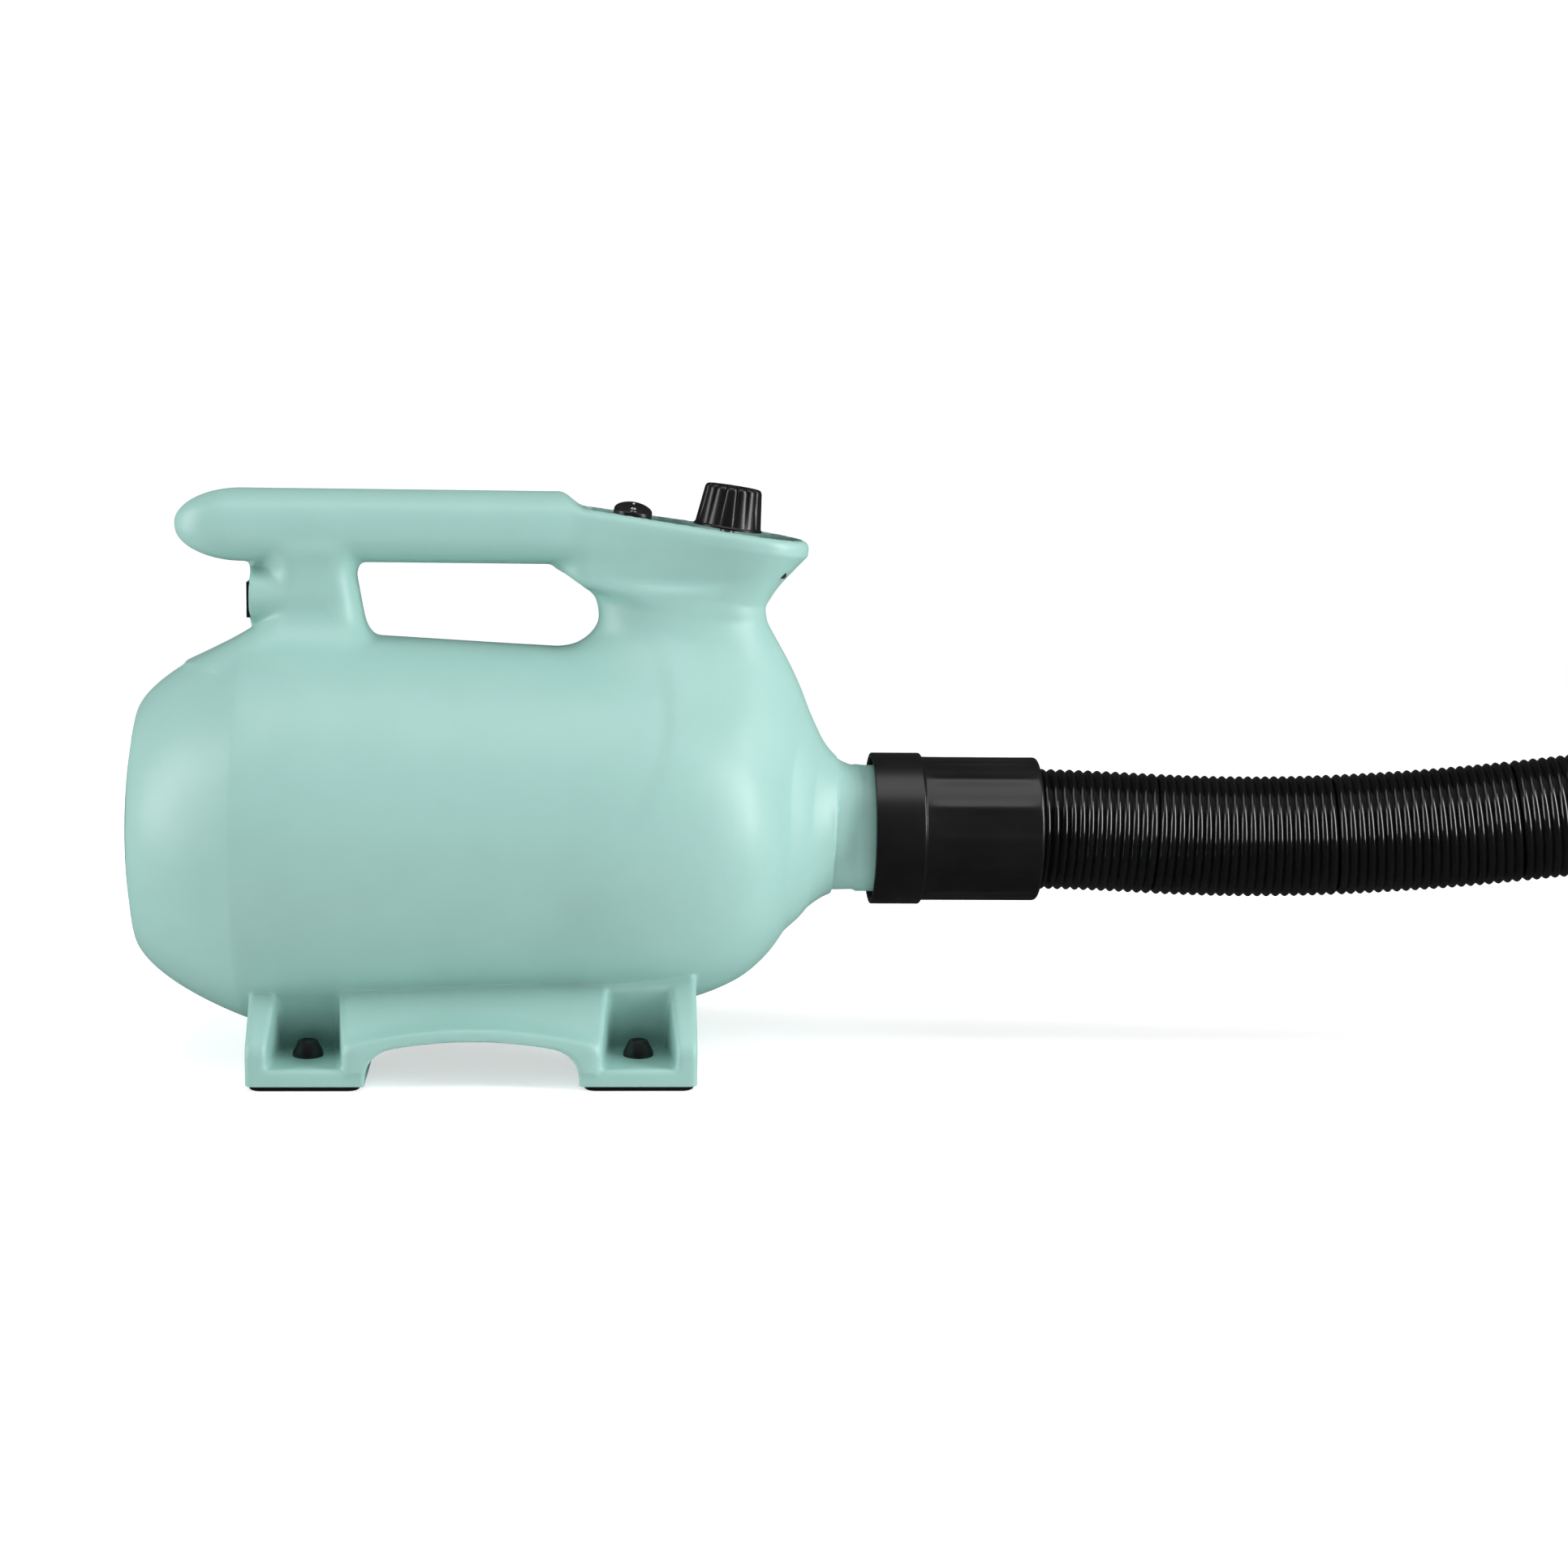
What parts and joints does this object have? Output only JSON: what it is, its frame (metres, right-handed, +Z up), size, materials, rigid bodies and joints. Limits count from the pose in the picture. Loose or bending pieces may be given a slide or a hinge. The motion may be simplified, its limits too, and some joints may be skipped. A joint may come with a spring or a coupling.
{
  "type": "pet dryer",
  "caption": "Barrel-shaped blower on feet with a top handle, a tilted control bowl with knob and rocker, and a ribbed hose on a twist-lock coupler.",
  "frame": {"origin": "on the floor, on the dryer's middle plane, midway between the front and rear feet", "axes": "+X the way the air leaves the outlet, +Z up, +Y to the dryer's left seen from behind"},
  "size_m": [1.0889, 0.1957, 0.2719],
  "materials": {
    "casing": "satin moulded mint plastic with a fine grain",
    "panel": "fine textured black",
    "control": "semi-gloss black",
    "hose": "glossy black",
    "fitting": "satin black",
    "rubber": "matt",
    "filter": "open-cell foam",
    "foam": "sound-absorbing foam",
    "steel": "zinc plated",
    "lamination": "stacked laminations",
    "alloy": "pressed and brushed",
    "copper": "enamelled copper",
    "brass": "satin",
    "carbon": "pressed carbon",
    "board": "green solder mask",
    "component": "moulded",
    "wire": "insulated wire"
  },
  "bodies": {
    "housing": {"housing_right": "casing", "housing_left": "casing", "housing_screws": "steel", "control_panel": "panel", "panel_screws": "fitting", "switch_body": "control", "speed_potentiometer": "alloy", "potentiometer_nut": "steel", "circuit_board": "board", "board_components": "component", "heatsink": "alloy", "power_inlet": "fitting", "mains_leads": "wire", "motor_leads": "wire", "rubber_feet": "rubber", "acoustic_foam": "foam", "motor_mount_rear": "rubber", "motor_mount_front": "rubber", "fan_case": "alloy", "motor_frame": "alloy", "diffuser": "alloy", "bearing_rear": "steel", "bearing_front": "steel", "stator_core": "lamination", "field_coils": "copper", "end_bracket": "alloy", "brush_holders": "brass", "carbon_brushes": "carbon", "brush_springs": "steel", "coupler_seal": "rubber"},
    "cover": {"rear_cover": "casing", "intake_filter": "filter"},
    "rocker": {"rocker": "control"},
    "knob": {"speed_knob": "fitting", "knob_shaft": "steel"},
    "rotor": {"motor_shaft": "steel", "impeller_first": "alloy", "impeller_second": "alloy", "impeller_spacer": "alloy", "shaft_nut": "steel", "armature_core": "lamination", "armature_winding": "copper", "commutator": "copper"},
    "coupler": {"hose_coupler": "fitting"},
    "hose_1": {"hose_bushing": "fitting", "hose_link_1": "hose"},
    "hose_2": {"hose_link_2": "hose"},
    "hose_3": {"hose_link_3": "hose"},
    "hose_4": {"hose_link_4": "hose"},
    "hose_5": {"hose_link_5": "hose"},
    "hose_6": {"hose_link_6": "hose"},
    "hose_7": {"hose_link_7": "hose"},
    "cuff": {"hose_cuff": "fitting"},
    "nozzle": {"nozzle": "fitting"}
  },
  "joints": [
    {"name": "rocker_tip", "type": "hinge", "parent": "housing", "child": "rocker", "pos_m": [0.07127, 0, 0.2522], "axis": [0.9903, 0, -0.1392], "range_deg": [-28, 0]},
    {"name": "knob_turn", "type": "hinge", "parent": "housing", "child": "knob", "pos_m": [0.11639, 0, 0.2499], "axis": [0.1392, 0, 0.9903], "range_deg": [-135, 135]},
    {"name": "rotor_spin", "type": "hinge", "parent": "housing", "child": "rotor", "pos_m": [0, 0, 0.108], "axis": [1, 0, 0], "continuous": true},
    {"name": "cover_pull", "type": "slide", "parent": "housing", "child": "cover", "axis": [-1, 0, 0], "range_m": [0, 0.06]},
    {"name": "coupler_twist", "type": "hinge", "parent": "housing", "child": "coupler", "pos_m": [0.2, 0, 0.108], "axis": [1, 0, 0], "range_deg": [0, 30]},
    {"name": "hose_swivel", "type": "hinge", "parent": "coupler", "child": "hose_1", "pos_m": [0.232, 0, 0.108], "axis": [1, 0, 0], "continuous": true},
    {"name": "hose_bend_1", "type": "hinge", "parent": "hose_1", "child": "hose_2", "pos_m": [0.28, 0, 0.108], "axis": [0, 1, 0], "range_deg": [-26, 26], "stiffness_Nm_per_rad": 4},
    {"name": "hose_bend_2", "type": "hinge", "parent": "hose_2", "child": "hose_3", "pos_m": [0.36562, -0.00749, 0.105], "axis": [0.0348, -0.003, 0.9994], "range_deg": [-26, 26], "stiffness_Nm_per_rad": 4},
    {"name": "hose_bend_3", "type": "hinge", "parent": "hose_3", "child": "hose_4", "pos_m": [0.45068, -0.01869, 0.111], "axis": [0.1305, 0.9914, 0], "range_deg": [-26, 26], "stiffness_Nm_per_rad": 4},
    {"name": "hose_bend_4", "type": "hinge", "parent": "hose_4", "child": "hose_5", "pos_m": [0.53479, -0.03201, 0.12297], "axis": [-0.1375, 0.0218, 0.9903], "range_deg": [-26, 26], "stiffness_Nm_per_rad": 4},
    {"name": "hose_bend_5", "type": "hinge", "parent": "hose_5", "child": "hose_6", "pos_m": [0.61891, -0.04533, 0.13494], "axis": [0.1564, 0.9877, 0], "range_deg": [-26, 26], "stiffness_Nm_per_rad": 4},
    {"name": "hose_bend_6", "type": "hinge", "parent": "hose_6", "child": "hose_7", "pos_m": [0.70395, -0.05729, 0.13944], "axis": [-0.0518, 0.0073, 0.9986], "range_deg": [-26, 26], "stiffness_Nm_per_rad": 4},
    {"name": "hose_bend_7", "type": "hinge", "parent": "hose_7", "child": "cuff", "pos_m": [0.78899, -0.06773, 0.13194], "axis": [0.1219, 0.9925, 0], "range_deg": [-26, 26], "stiffness_Nm_per_rad": 4},
    {"name": "nozzle_turn", "type": "hinge", "parent": "cuff", "child": "nozzle", "pos_m": [0.78899, -0.06773, 0.13194], "axis": [0.9728, -0.1022, -0.2079], "continuous": true}
  ]
}
